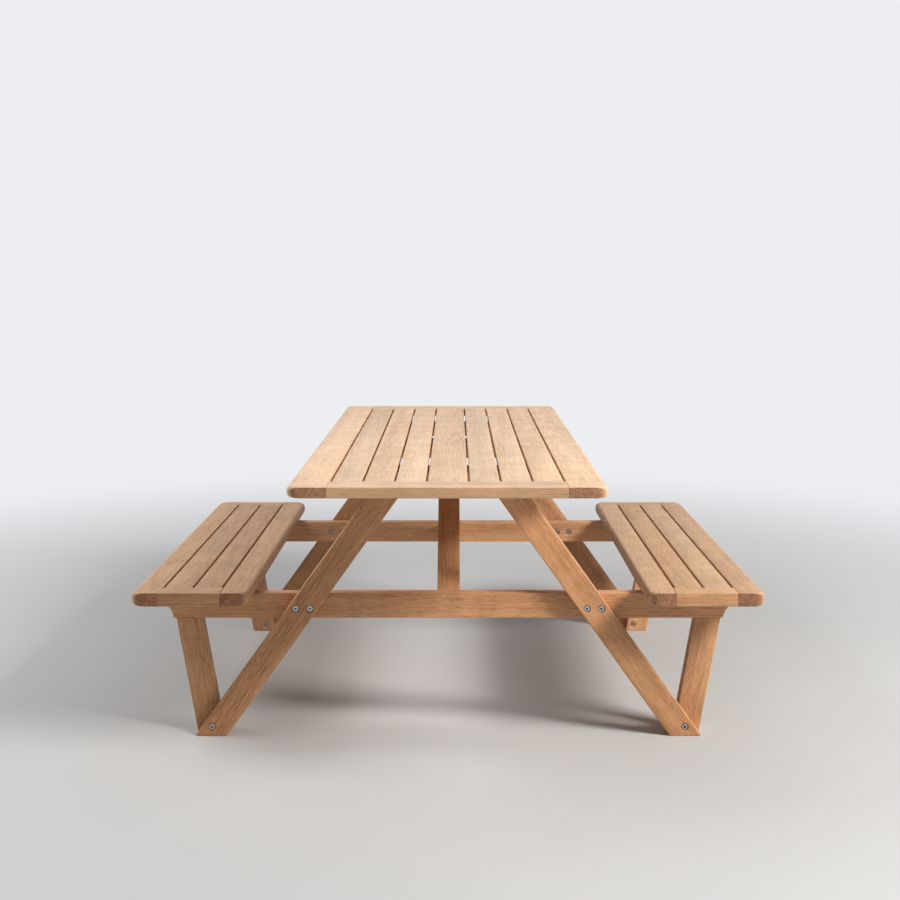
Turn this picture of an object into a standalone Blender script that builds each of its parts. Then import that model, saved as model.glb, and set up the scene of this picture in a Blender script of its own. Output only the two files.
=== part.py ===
"""Slatted picnic table with two fixed benches, carried by two A-shaped end frames.

Metres, +Z up. X runs across the table and Y along it, with the front end at -Y. The origin is
on the floor under the middle of the tabletop. Every piece of wood is its own board, pinned or
bolted to its neighbours through real tenons, laps and bolt holes.
"""

import math

import bmesh
import bpy

# Fits and dressings
FIT = 0.0003              # air between two pieces that touch
OVERSHOOT = 0.010         # how far a cutter runs past the face it opens
OVERLAP = 0.004           # how far a tenon is sunk into its own board before they are joined
ARRIS = 0.002             # chamfer along the long edges of every board

# Square-edged stock that the frames are cut from
STOCK_WIDTH = 0.070
STOCK_THICK = 0.035

# Tabletop
TOP_HEIGHT = 0.750
TOP_LENGTH = 1.800
TOP_WIDTH = 0.790
TOP_FRAME_THICK = 0.028
TOP_SLAT_THICK = 0.018
TOP_SIDE_RAIL_WIDTH = 0.0995
TOP_END_RAIL_WIDTH = 0.084
TOP_CENTRE_SLAT_WIDTH = 0.100
TOP_SLAT_COUNT = 7
TOP_EDGE_RADIUS = 0.0125  # along the long sides
END_EDGE_RADIUS = 0.003   # across the ends, on the tabletop and on the benches
CORNER_RADIUS = 0.030     # in plan, on the tabletop and on the benches
SLAT_GAP = 0.0055

# Benches
SEAT_HEIGHT = 0.425
BENCH_LENGTH = 1.300
BENCH_WIDTH = 0.313
BENCH_CENTRE_X = 0.6845
BENCH_FRAME_THICK = 0.037
BENCH_SLAT_THICK = 0.022
BENCH_SLAT_WIDTH = 0.073
BENCH_SLAT_COUNT = 2
BENCH_END_RAIL_WIDTH = 0.056
BENCH_EDGE_RADIUS = 0.014  # along the long sides
BENCH_BATTEN_WIDTH = 0.060

# Tongues and tenons
SLAT_TONGUE_LENGTH = 0.012
SLAT_TONGUE_THICK = 0.008
SLAT_SHOULDER = 0.012     # from a slat's edge to its tongue
RAIL_TENON_LENGTH = 0.028
RAIL_TENON_THICK = 0.010
RAIL_SHOULDER = 0.014     # from an end rail's edge to its tenon
STRUT_TENON_LENGTH = 0.025
STRUT_TENON_WIDTH = 0.040
STRUT_TENON_THICK = 0.012
BRACE_TENON_LENGTH = 0.012
BRACE_TENON_WIDTH = 0.036
BRACE_TENON_THICK = 0.020

# End frames. The front one stands at -Y, with its long legs on the outer side of its beam.
BEAM_PLANE_Y = 0.4875     # middle of the beam's thickness, from the middle of the table
BEAM_LENGTH = 1.600
BEAM_COVE_RADIUS = 0.042
LEG_FOOT_X = 0.650        # middle of a long leg's foot
LEG_ANGLE = math.radians(35.6)
STRUT_TOP_X = 0.750       # outer corner of a strut, under the beam

# Boards under the tabletop
BATTEN_LAP = 0.060        # how far a batten runs on under a side rail
CENTRE_BOARD_WIDTH = 0.250
CENTRE_BOARD_THICK = 0.028
CLEAT_LENGTH = 0.500
BRACE_WIDTH = 0.063

# Bolts with sleeve nuts
BOLT_HEAD_RADIUS = 0.008
BOLT_HEAD_THICK = 0.0035
BOLT_SHANK_RADIUS = 0.004
BOLT_HOLE_RADIUS = 0.0045
NUT_RADIUS = 0.0075
SINKING_RADIUS = 0.010    # counterbore around a head or a nut
SINKING_DEPTH = 0.005
SOCKET_RADIUS = 0.0034    # to the corners of the hexagon
SOCKET_DEPTH = 0.0045
CROSSING_BOLT_SPACING = 0.039
FOOT_BOLT_X = 0.648
FOOT_BOLT_Z = 0.025

# Smoothness of round shapes
TURNED_SEGMENTS = 12
CORNER_SEGMENTS = 6
EDGE_SEGMENTS = 3
COVE_SEGMENTS = 8
SMOOTH_ANGLE = math.radians(40)

# Levels and planes that follow from the dimensions above
TOP_FRAME_UNDERSIDE = TOP_HEIGHT - TOP_FRAME_THICK
TOP_SLAT_UNDERSIDE = TOP_HEIGHT - TOP_SLAT_THICK
BENCH_UNDERSIDE = SEAT_HEIGHT - BENCH_FRAME_THICK
BATTEN_TOP = TOP_SLAT_UNDERSIDE - FIT
BATTEN_BOTTOM = TOP_SLAT_UNDERSIDE - STOCK_THICK
BATTEN_MIDDLE = (BATTEN_TOP + BATTEN_BOTTOM) / 2
CENTRE_BOARD_BOTTOM = TOP_SLAT_UNDERSIDE - CENTRE_BOARD_THICK
BEAM_TOP = BENCH_UNDERSIDE - FIT
BEAM_BOTTOM = BENCH_UNDERSIDE - STOCK_WIDTH
BEAM_MIDDLE = (BEAM_TOP + BEAM_BOTTOM) / 2
PLY = STOCK_THICK - FIT   # thickness of a board bolted face to face with another
INNER_BATTEN_PLANE_Y = BEAM_PLANE_Y - STOCK_THICK
LEG_PLANE_Y = BEAM_PLANE_Y + STOCK_THICK
OUTER_BATTEN_PLANE_Y = LEG_PLANE_Y + STOCK_THICK
LEG_LEAN = math.tan(LEG_ANGLE)
LEG_HALF_RUN = STOCK_WIDTH / 2 / math.cos(LEG_ANGLE)
FOOT_CORNER_X = LEG_FOOT_X + LEG_HALF_RUN

TEAK = {"colour": (0.52, 0.30, 0.16), "roughness": 0.6, "metallic": 0.0}
PALE_TEAK = {"colour": (0.68, 0.48, 0.31), "roughness": 0.65, "metallic": 0.0}
STEEL = {"colour": (0.62, 0.63, 0.65), "roughness": 0.3, "metallic": 1.0}


def clear_scene():
    for item in list(bpy.data.objects):
        bpy.data.objects.remove(item, do_unlink=True)


def material(name, finish):
    """A Principled BSDF of its own for one piece."""
    made = bpy.data.materials.new(name)
    made.use_nodes = True
    shader = made.node_tree.nodes["Principled BSDF"]
    shader.inputs["Base Color"].default_value = (*finish["colour"], 1.0)
    shader.inputs["Roughness"].default_value = finish["roughness"]
    shader.inputs["Metallic"].default_value = finish["metallic"]
    return made


def empty(name, location=(0, 0, 0), turn=0.0):
    """A marker that pieces are placed by, turned about Z."""
    made = bpy.data.objects.new(name, None)
    bpy.context.scene.collection.objects.link(made)
    made.location = location
    made.rotation_euler.z = turn
    return made


def piece(name, mesh, finish, parent, location=(0, 0, 0), turn=0.0):
    """One named piece of the table, placed under its parent."""
    made = bpy.data.objects.new(name, mesh)
    bpy.context.scene.collection.objects.link(made)
    made.parent = parent
    made.location = location
    made.rotation_euler.z = turn
    made.material_slots[0].link = "OBJECT"
    made.material_slots[0].material = material(name, finish)
    return made


def point(along, first, second, axis):
    """A point from its place along an axis and its two coordinates across it, in X, Y, Z order."""
    coordinates = [first, second]
    coordinates.insert("XYZ".index(axis), along)
    return coordinates


def prism(outline, low, high, axis):
    """A solid with the given outline across an axis, from low to high along it."""
    form = bmesh.new()
    ring = [form.verts.new(point(low, first, second, axis)) for first, second in outline]
    swept = bmesh.ops.extrude_face_region(form, geom=[form.faces.new(ring)])
    moved = [item for item in swept["geom"] if isinstance(item, bmesh.types.BMVert)]
    bmesh.ops.translate(form, verts=moved, vec=point(high - low, 0, 0, axis))
    bmesh.ops.recalc_face_normals(form, faces=form.faces)
    return form


def block(low, high):
    """A rectangular solid between two corners."""
    outline = [(low[0], low[1]), (high[0], low[1]), (high[0], high[1]), (low[0], high[1])]
    return prism(outline, low[2], high[2], "Z")


def turned(profile):
    """A solid of revolution about Y, from (radius, place along Y) points that start and end on it."""
    form = bmesh.new()
    chain = [form.verts.new((radius, along, 0)) for radius, along in profile]
    edges = [form.edges.new(pair) for pair in zip(chain, chain[1:])]
    bmesh.ops.spin(form, geom=chain + edges, cent=(0, 0, 0), axis=(0, 1, 0),
                   angle=math.tau, steps=TURNED_SEGMENTS)
    bmesh.ops.remove_doubles(form, verts=form.verts, dist=FIT / 10)
    bmesh.ops.recalc_face_normals(form, faces=form.faces)
    return form


def moved_by(form, offset):
    bmesh.ops.translate(form, verts=form.verts, vec=offset)
    return form


def slab(rim, low, high):
    """A flat solid with a rounded rim, from low to high in Z.

    Each point of the rim is its X and Y, the radius of the rounding there, and the way inwards.
    """
    form = bmesh.new()
    rings = []
    for face, way in ((low, 1), (high, -1)):
        for step in range(EDGE_SEGMENTS + 1)[::way]:
            angle = step / EDGE_SEGMENTS * math.pi / 2
            rings.append([form.verts.new((x + radius * (1 - math.sin(angle)) * inwards_x,
                                          y + radius * (1 - math.sin(angle)) * inwards_y,
                                          face + way * radius * (1 - math.cos(angle))))
                          for x, y, radius, inwards_x, inwards_y in rim])
    form.faces.new(rings[0])
    form.faces.new(rings[-1])
    for lower, upper in zip(rings, rings[1:]):
        for index in range(len(rim)):
            form.faces.new((lower[index - 1], lower[index], upper[index], upper[index - 1]))
    bmesh.ops.recalc_face_normals(form, faces=form.faces)
    return form


def bevel(form, chosen, width, segments=1):
    """Rounds or chamfers the edges that the test picks."""
    edges = [edge for edge in form.edges if chosen(edge)]
    bmesh.ops.bevel(form, geom=edges, offset=width, segments=segments, profile=0.5,
                    affect="EDGES", clamp_overlap=False)
    return form


def is_long(edge):
    """True for the edges that run along a board and not across it."""
    return edge.calc_length() > 2 * STOCK_WIDTH


def to_mesh(form, name):
    mesh = bpy.data.meshes.new(name)
    form.to_mesh(mesh)
    form.free()
    mesh.materials.append(None)
    return mesh


def merged(forms, name):
    """One mesh that holds several separate forms."""
    whole = bmesh.new()
    for form in forms:
        part = to_mesh(form, name)
        whole.from_mesh(part)
        bpy.data.meshes.remove(part)
    return to_mesh(whole, name)


def combined(mesh, forms, operation):
    """The mesh after a Boolean with forms that are clear of each other."""
    body = bpy.data.objects.new(mesh.name, mesh)
    tool = bpy.data.objects.new("tool", merged(forms, "tool"))
    tool.hide_render = True
    tool.display_type = "WIRE"
    for item in (body, tool):
        bpy.context.scene.collection.objects.link(item)
    change = body.modifiers.new(operation, "BOOLEAN")
    change.operation = operation
    change.solver = "EXACT"
    change.object = tool
    bpy.context.view_layer.update()
    seen = body.evaluated_get(bpy.context.evaluated_depsgraph_get())
    result = bpy.data.meshes.new_from_object(seen)
    for item in (body, tool):
        data = item.data
        bpy.data.objects.remove(item, do_unlink=True)
        bpy.data.meshes.remove(data)
    return result


def shaped(form, name, added=(), taken=()):
    """A piece's mesh from its blank, with tenons added and mortises and holes taken away."""
    mesh = to_mesh(form, name)
    if added:
        mesh = combined(mesh, added, "UNION")
    if taken:
        mesh = combined(mesh, taken, "DIFFERENCE")
    mesh.shade_smooth()
    mesh.set_sharp_from_angle(angle=SMOOTH_ANGLE)
    mesh.name = name
    return mesh


def both_ends(low, high):
    """Two equal blocks, the second turned half a turn about Z."""
    return [block(low, high), block((-high[0], -high[1], low[2]), (-low[0], -low[1], high[2]))]


# Slatted panels: the tabletop and the two benches. A panel's own origin is in the middle of the
# underside of its frame.


def side_rail_mesh(panel):
    """A side rail, from its inner face at X = 0 outwards: round corners and outer edge, eased ends."""
    half = panel["length"] / 2
    width = panel["side_rail_width"]
    thick = panel["thick"]
    rim = [(0, -half, END_EDGE_RADIUS, 0, 1)]
    for turn, corner_y in ((-math.pi / 2, CORNER_RADIUS - half), (0.0, half - CORNER_RADIUS)):
        for step in range(CORNER_SEGMENTS + 1):
            angle = turn + step / CORNER_SEGMENTS * math.pi / 2
            rounding = END_EDGE_RADIUS + (panel["edge_radius"] - END_EDGE_RADIUS) * abs(math.cos(angle))
            rim.append((width - CORNER_RADIUS + CORNER_RADIUS * math.cos(angle),
                        corner_y + CORNER_RADIUS * math.sin(angle),
                        rounding, -math.cos(angle), -math.sin(angle)))
    rim.append((0, half, END_EDGE_RADIUS, 0, -1))
    blank = slab(rim, 0, thick)
    low_y = half - panel["end_rail_width"] + RAIL_SHOULDER - FIT
    high_y = half - RAIL_SHOULDER + FIT
    low_z = (thick - RAIL_TENON_THICK) / 2 - FIT
    mortises = []
    for low, high in ((-high_y, -low_y), (low_y, high_y)):
        mortises.append(block((-OVERSHOOT, low, low_z),
                              (RAIL_TENON_LENGTH + FIT, high, thick - low_z)))
    return shaped(blank, panel["name"] + "_side_rail", taken=mortises)


def end_rail_mesh(panel):
    """An end rail, from its inner face at Y = 0 outwards, tenoned into both side rails."""
    half = panel["length_across"] / 2 - FIT
    width = panel["end_rail_width"]
    thick = panel["thick"]

    def is_outer(edge):
        return is_long(edge) and min(corner.co.y for corner in edge.verts) > width / 2

    blank = bevel(block((-half, 0, 0), (half, width, thick)),
                  is_outer, END_EDGE_RADIUS, EDGE_SEGMENTS)
    low_z = (thick - RAIL_TENON_THICK) / 2
    tenons = []
    for low, high in ((-half - RAIL_TENON_LENGTH, OVERLAP - half),
                      (half - OVERLAP, half + RAIL_TENON_LENGTH)):
        tenons.append(block((low, RAIL_SHOULDER, low_z),
                            (high, width - RAIL_SHOULDER, thick - low_z)))
    tongue_z = thick - (panel["slat_thick"] + SLAT_TONGUE_THICK) / 2
    mortises = []
    for centre, slat_width in panel["slats"]:
        reach = slat_width / 2 - SLAT_SHOULDER + FIT
        mortises.append(block((centre - reach, -OVERSHOOT, tongue_z - FIT),
                              (centre + reach, SLAT_TONGUE_LENGTH + FIT,
                               tongue_z + SLAT_TONGUE_THICK + FIT)))
    return shaped(blank, panel["name"] + "_end_rail", tenons, mortises)


def slat_mesh(panel, width):
    """A slat about its own middle, with a tongue at each end."""
    half = panel["length"] / 2 - panel["end_rail_width"] - FIT
    thick = panel["slat_thick"]
    blank = bevel(block((-width / 2, -half, 0), (width / 2, half, thick)), is_long, ARRIS)
    reach = width / 2 - SLAT_SHOULDER
    low_z = (thick - SLAT_TONGUE_THICK) / 2
    tongues = both_ends((-reach, half - OVERLAP, low_z),
                        (reach, half + SLAT_TONGUE_LENGTH, thick - low_z))
    return shaped(blank, panel["name"] + "_slat", tongues)


def panel_of(name, length, width, thick, slat_thick, end_rail_width, edge_radius, slat_widths):
    """The dimensions of a slatted panel. Its side rails take the width that the slats leave."""
    gaps = (len(slat_widths) + 1) * SLAT_GAP
    across = sum(slat_widths) + gaps
    slats = []
    edge = -across / 2
    for slat_width in slat_widths:
        edge += SLAT_GAP
        slats.append((edge + slat_width / 2, slat_width))
        edge += slat_width
    return {
        "name": name, "length": length, "thick": thick, "slat_thick": slat_thick,
        "length_across": across, "side_rail_width": (width - across) / 2,
        "end_rail_width": end_rail_width, "edge_radius": edge_radius, "slats": slats,
    }


def build_panel(panel, parent, side_names, slat_names, finish):
    """The rails and slats of one panel. Opposite rails are one shape, turned half a turn."""
    rail = side_rail_mesh(panel)
    for side, side_name in zip((-1, 1), side_names):
        piece(f"{panel['name']}_side_rail_{side_name}", rail, finish, parent,
              (side * panel["length_across"] / 2, 0, 0), 0 if side > 0 else math.pi)
    end_rail = end_rail_mesh(panel)
    for side, side_name in ((-1, "front"), (1, "back")):
        inner_face = panel["length"] / 2 - panel["end_rail_width"]
        piece(f"{panel['name']}_end_rail_{side_name}", end_rail, finish, parent,
              (0, side * inner_face, 0), 0 if side > 0 else math.pi)
    meshes = {}
    for (centre, width), slat_name in zip(panel["slats"], slat_names):
        if width not in meshes:
            meshes[width] = slat_mesh(panel, width)
        piece(f"{panel['name']}_slat_{slat_name}", meshes[width], finish, parent,
              (centre, 0, panel["thick"] - panel["slat_thick"]))


def build_tabletop():
    parent = empty("tabletop", (0, 0, TOP_FRAME_UNDERSIDE))
    plain_slats = TOP_SLAT_COUNT - 1
    room = TOP_WIDTH - 2 * TOP_SIDE_RAIL_WIDTH - TOP_CENTRE_SLAT_WIDTH
    slat_width = (room - (TOP_SLAT_COUNT + 1) * SLAT_GAP) / plain_slats
    widths = [slat_width] * TOP_SLAT_COUNT
    widths[TOP_SLAT_COUNT // 2] = TOP_CENTRE_SLAT_WIDTH
    panel = panel_of("top", TOP_LENGTH, TOP_WIDTH, TOP_FRAME_THICK, TOP_SLAT_THICK,
                     TOP_END_RAIL_WIDTH, TOP_EDGE_RADIUS, widths)
    build_panel(panel, parent, ("left", "right"), range(1, TOP_SLAT_COUNT + 1), PALE_TEAK)
    return panel


def bench_batten_mesh(panel):
    """The short board under the middle of a bench's slats, between its side rails."""
    half = panel["length_across"] / 2 - FIT
    high_z = panel["thick"] - panel["slat_thick"] - FIT
    return shaped(block((-half, -BENCH_BATTEN_WIDTH / 2, 0), (half, BENCH_BATTEN_WIDTH / 2, high_z)),
                  panel["name"] + "_batten")


def build_bench(side, side_name):
    name = f"bench_{side_name}"
    parent = empty(name, (side * BENCH_CENTRE_X, 0, BENCH_UNDERSIDE))
    panel = panel_of(name, BENCH_LENGTH, BENCH_WIDTH, BENCH_FRAME_THICK, BENCH_SLAT_THICK,
                     BENCH_END_RAIL_WIDTH, BENCH_EDGE_RADIUS,
                     [BENCH_SLAT_WIDTH] * BENCH_SLAT_COUNT)
    names = ("inner", "outer") if side > 0 else ("outer", "inner")
    build_panel(panel, parent, names, names, PALE_TEAK)
    piece(f"{name}_batten", bench_batten_mesh(panel), TEAK, parent)


# End frames. Each piece's mesh is centred on the middle of its thickness, in Y, and its X and Z
# are those of the table. The back frame is the front one, turned half a turn about Z.


def bolt_hole(x, z, sunk=0):
    """A hole right through a board, with a counterbore on its -Y or +Y face if sunk is -1 or 1."""
    far = PLY / 2 + OVERSHOOT
    seat = PLY / 2 - SINKING_DEPTH
    profile = [(0, -far), (BOLT_HOLE_RADIUS, -far)]
    if sunk:
        profile += [(BOLT_HOLE_RADIUS, seat), (SINKING_RADIUS, seat), (SINKING_RADIUS, far)]
    else:
        profile += [(BOLT_HOLE_RADIUS, far)]
    profile += [(0, far)]
    if sunk < 0:
        profile = [(radius, -along) for radius, along in profile]
    return moved_by(turned(profile), (x, 0, z))


def leg_x(z):
    """Middle of a long leg at a height, on the +X side."""
    return LEG_FOOT_X - LEG_LEAN * z


def crossing_bolt_places():
    return [leg_x(BEAM_MIDDLE) + offset for offset in
            (-CROSSING_BOLT_SPACING / 2, CROSSING_BOLT_SPACING / 2)]


def leg_mesh(side):
    """A long leg, from the floor to the underside of the slats, cut level at both ends."""
    foot = side * leg_x(0)
    head = side * leg_x(BATTEN_TOP)
    outline = [(foot - LEG_HALF_RUN, 0), (foot + LEG_HALF_RUN, 0),
               (head + LEG_HALF_RUN, BATTEN_TOP), (head - LEG_HALF_RUN, BATTEN_TOP)]
    holes = [bolt_hole(side * x, BEAM_MIDDLE, sunk=-1) for x in crossing_bolt_places()]
    holes.append(bolt_hole(side * FOOT_BOLT_X, FOOT_BOLT_Z, sunk=-1))
    holes.append(bolt_hole(side * leg_x(BATTEN_MIDDLE), BATTEN_MIDDLE))
    return shaped(bevel(prism(outline, -PLY / 2, PLY / 2, "Y"), is_long, ARRIS), "leg", taken=holes)


def strut_edge_x(z):
    """Outer edge of a strut at a height, on the +X side: its foot ends where the leg's does."""
    return FOOT_CORNER_X + (STRUT_TOP_X - FOOT_CORNER_X) * z / BEAM_BOTTOM


def strut_top_middle():
    """Middle of a strut's top end, on the +X side, and its level width."""
    run = STOCK_WIDTH / math.cos(math.atan2(STRUT_TOP_X - FOOT_CORNER_X, BEAM_BOTTOM))
    return STRUT_TOP_X - run / 2, run


def strut_tenon(side, grow=0.0):
    """The tenon on a strut's top end, or with grow its mortise in the beam."""
    middle, _ = strut_top_middle()
    reach = STRUT_TENON_WIDTH / 2 + grow
    half = STRUT_TENON_THICK / 2 + grow
    low_z = BEAM_BOTTOM - (OVERSHOOT if grow else OVERLAP)
    return block((side * middle - reach, -half, low_z),
                 (side * middle + reach, half, BEAM_BOTTOM + STRUT_TENON_LENGTH + grow))


def strut_mesh(side):
    """A short strut behind a leg's foot, from the floor to the beam's underside."""
    _, run = strut_top_middle()
    top = BEAM_BOTTOM - FIT
    outline = [(side * (strut_edge_x(0) - run), 0), (side * strut_edge_x(0), 0),
               (side * strut_edge_x(top), top), (side * (strut_edge_x(top) - run), top)]
    return shaped(bevel(prism(outline, -PLY / 2, PLY / 2, "Y"), is_long, ARRIS), "strut",
                  [strut_tenon(side)], [bolt_hole(side * FOOT_BOLT_X, FOOT_BOLT_Z, sunk=1)])


def brace_tenon(grow=0.0):
    """The tenon on a brace's foot, or with grow its mortise, about the middle of the beam."""
    face = PLY / 2
    reach = BRACE_TENON_WIDTH / 2 + grow
    half = BRACE_TENON_THICK / 2 + grow
    return block((-reach, face - BRACE_TENON_LENGTH - grow, BEAM_MIDDLE - half),
                 (reach, face + FIT + OVERLAP + grow, BEAM_MIDDLE + half))


def beam_mesh():
    """The cross beam, with a concave cove cut away under each end."""
    half = BEAM_LENGTH / 2
    right = []
    for step in range(COVE_SEGMENTS + 1):
        angle = math.pi - step / COVE_SEGMENTS * math.pi / 2
        right.append((half + BEAM_COVE_RADIUS * math.cos(angle),
                      BEAM_BOTTOM + BEAM_COVE_RADIUS * math.sin(angle)))
    right.append((half, BEAM_TOP))
    outline = right + [(-x, z) for x, z in reversed(right)]
    taken = [brace_tenon(FIT)]
    for side in (-1, 1):
        taken += [bolt_hole(side * x, BEAM_MIDDLE, sunk=1) for x in crossing_bolt_places()]
        taken.append(strut_tenon(side, FIT))
    return shaped(bevel(prism(outline, -PLY / 2, PLY / 2, "Y"), is_long, ARRIS), "beam", taken=taken)


def brace_mesh():
    """The diagonal brace, from the beam's inner face up to the board under the tabletop."""
    foot_y = PLY / 2 + FIT
    head_y = BEAM_PLANE_Y - FIT / 2
    slope = (CENTRE_BOARD_BOTTOM - BEAM_MIDDLE) / (BEAM_PLANE_Y - foot_y)
    rise = STOCK_THICK / 2 / math.cos(math.atan(slope))
    top = CENTRE_BOARD_BOTTOM - FIT

    def middle(y):
        return BEAM_MIDDLE + slope * (y - foot_y)

    shoulder_y = foot_y + (top - rise - BEAM_MIDDLE) / slope
    outline = [(foot_y, middle(foot_y) - rise), (head_y, middle(head_y) - rise), (head_y, top),
               (shoulder_y, top), (foot_y, middle(foot_y) + rise)]
    blank = bevel(prism(outline, -BRACE_WIDTH / 2, BRACE_WIDTH / 2, "X"), is_long, ARRIS)
    return shaped(blank, "brace", [brace_tenon()])


def lapped_board_mesh(name, panel, width, bottom, holes=()):
    """A board under the slats, thinned at both ends where it runs on under the side rails."""
    inner = panel["length_across"] / 2 - FIT
    outer = inner + BATTEN_LAP
    lap_top = TOP_FRAME_UNDERSIDE - FIT
    outline = [(-outer, bottom), (outer, bottom), (outer, lap_top), (inner, lap_top),
               (inner, BATTEN_TOP), (-inner, BATTEN_TOP), (-inner, lap_top), (-outer, lap_top)]
    return shaped(prism(outline, -width / 2, width / 2, "Y"), name, taken=holes)


def leg_head_holes(sunk):
    return [bolt_hole(side * leg_x(BATTEN_MIDDLE), BATTEN_MIDDLE, sunk) for side in (-1, 1)]


def cleat_mesh():
    """The packing between the tops of the legs and the inner batten."""
    blank = block((-CLEAT_LENGTH / 2, -PLY / 2, BATTEN_BOTTOM), (CLEAT_LENGTH / 2, PLY / 2, BATTEN_TOP))
    return shaped(blank, "cleat", taken=leg_head_holes(0))


def bolt_mesh(outer_plane_y, inner_plane_y):
    """A bolt and its sleeve nut through the boards from the outer plane to the inner one."""
    outer = -(outer_plane_y + PLY / 2 - SINKING_DEPTH) - FIT
    inner = -(inner_plane_y - PLY / 2 + SINKING_DEPTH) + FIT
    profile = [(0, outer - BOLT_HEAD_THICK), (BOLT_HEAD_RADIUS, outer - BOLT_HEAD_THICK),
               (BOLT_HEAD_RADIUS, outer), (BOLT_SHANK_RADIUS, outer), (BOLT_SHANK_RADIUS, inner),
               (NUT_RADIUS, inner), (NUT_RADIUS, inner + BOLT_HEAD_THICK),
               (0, inner + BOLT_HEAD_THICK)]
    sockets = []
    hexagon = [(SOCKET_RADIUS * math.cos(corner * math.tau / 6),
                SOCKET_RADIUS * math.sin(corner * math.tau / 6)) for corner in range(6)]
    for face, outwards in ((outer - BOLT_HEAD_THICK, -1), (inner + BOLT_HEAD_THICK, 1)):
        ends = sorted((face - outwards * SOCKET_DEPTH, face + outwards * OVERSHOOT))
        sockets.append(prism(hexagon, ends[0], ends[1], "Y"))
    return shaped(turned(profile), "bolt", taken=sockets)


def build_end_frame(end_name, turn, panel):
    """One end frame with its brace, battens and bolts, turned about Z to its end of the table."""
    parent = empty(f"end_frame_{end_name}", turn=turn)
    sides = (("left", -1), ("right", 1)) if turn == 0 else (("right", -1), ("left", 1))
    crossing_bolt = bolt_mesh(LEG_PLANE_Y, BEAM_PLANE_Y)
    head_bolt = bolt_mesh(OUTER_BATTEN_PLANE_Y, INNER_BATTEN_PLANE_Y)
    piece(f"cross_beam_{end_name}", beam_mesh(), TEAK, parent, (0, -BEAM_PLANE_Y, 0))
    piece(f"brace_{end_name}", brace_mesh(), TEAK, parent, (0, -BEAM_PLANE_Y, 0))
    piece(f"top_cleat_{end_name}", cleat_mesh(), TEAK, parent, (0, -BEAM_PLANE_Y, 0))
    for place_name, plane_y, sunk in (("outer", OUTER_BATTEN_PLANE_Y, -1),
                                      ("inner", INNER_BATTEN_PLANE_Y, 1)):
        batten = lapped_board_mesh("batten", panel, PLY, BATTEN_BOTTOM, leg_head_holes(sunk))
        piece(f"top_batten_{end_name}_{place_name}", batten, TEAK, parent, (0, -plane_y, 0))
    for side_name, side in sides:
        where = f"{end_name}_{side_name}"
        piece(f"leg_{where}", leg_mesh(side), TEAK, parent, (0, -LEG_PLANE_Y, 0))
        piece(f"foot_strut_{where}", strut_mesh(side), TEAK, parent, (0, -BEAM_PLANE_Y, 0))
        for place_name, x in zip(("inner", "outer"), crossing_bolt_places()):
            piece(f"crossing_bolt_{where}_{place_name}", crossing_bolt, STEEL, parent,
                  (side * x, 0, BEAM_MIDDLE))
        piece(f"foot_bolt_{where}", crossing_bolt, STEEL, parent,
              (side * FOOT_BOLT_X, 0, FOOT_BOLT_Z))
        piece(f"head_bolt_{where}", head_bolt, STEEL, parent,
              (side * leg_x(BATTEN_MIDDLE), 0, BATTEN_MIDDLE))


def build_table():
    clear_scene()
    top_panel = build_tabletop()
    for side, side_name in ((-1, "left"), (1, "right")):
        build_bench(side, side_name)
    for end_name, turn in (("front", 0.0), ("back", math.pi)):
        build_end_frame(end_name, turn, top_panel)
    board = lapped_board_mesh("centre_board", top_panel, CENTRE_BOARD_WIDTH, CENTRE_BOARD_BOTTOM)
    piece("top_centre_board", board, TEAK, None)


build_table()
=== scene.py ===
"""Looks of the slatted picnic table: every board and bolt is shaped finely around its CAD node."""

import math
import random

import bmesh
import bpy
from mathutils import Matrix, Vector


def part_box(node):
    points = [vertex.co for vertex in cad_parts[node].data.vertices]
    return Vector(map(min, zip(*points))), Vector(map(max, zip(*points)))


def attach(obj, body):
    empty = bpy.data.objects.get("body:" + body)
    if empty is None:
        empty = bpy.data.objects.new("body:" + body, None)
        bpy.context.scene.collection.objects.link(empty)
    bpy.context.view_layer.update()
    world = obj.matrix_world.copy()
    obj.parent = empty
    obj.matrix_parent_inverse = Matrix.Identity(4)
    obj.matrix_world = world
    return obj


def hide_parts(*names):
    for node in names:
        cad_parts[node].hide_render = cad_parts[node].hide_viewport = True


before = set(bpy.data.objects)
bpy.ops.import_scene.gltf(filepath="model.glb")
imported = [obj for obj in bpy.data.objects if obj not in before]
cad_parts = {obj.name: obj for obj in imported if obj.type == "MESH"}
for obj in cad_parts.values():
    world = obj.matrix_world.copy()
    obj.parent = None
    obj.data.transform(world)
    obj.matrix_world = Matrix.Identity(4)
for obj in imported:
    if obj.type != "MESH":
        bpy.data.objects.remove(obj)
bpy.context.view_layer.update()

# Joinery, in metres
FIT = 0.0003              # air between two pieces that touch
SLACK = 0.0001            # slop when a point is tested against a plane
STRAIGHT = 0.01           # sine of the most that an outline may turn where no corner is meant
OVERSHOOT = 0.010         # how far a cutter runs past the face it opens
OVERLAP = 0.004           # how far a tenon is sunk into its own board before they are joined
SLAT_TONGUE_LENGTH = 0.012
SLAT_TONGUE_THICK = 0.008
SLAT_SHOULDER = 0.012     # from a slat's edge to its tongue
RAIL_TENON_LENGTH = 0.028
RAIL_TENON_THICK = 0.010
RAIL_SHOULDER = 0.014     # from an end rail's edge to its tenon
BATTEN_LAP = 0.060        # how far a batten runs on under a side rail
COVE_RADIUS = 0.042       # under each end of a cross beam
CORNER_RADIUS = 0.030     # in plan, on the tabletop and on the benches

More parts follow.
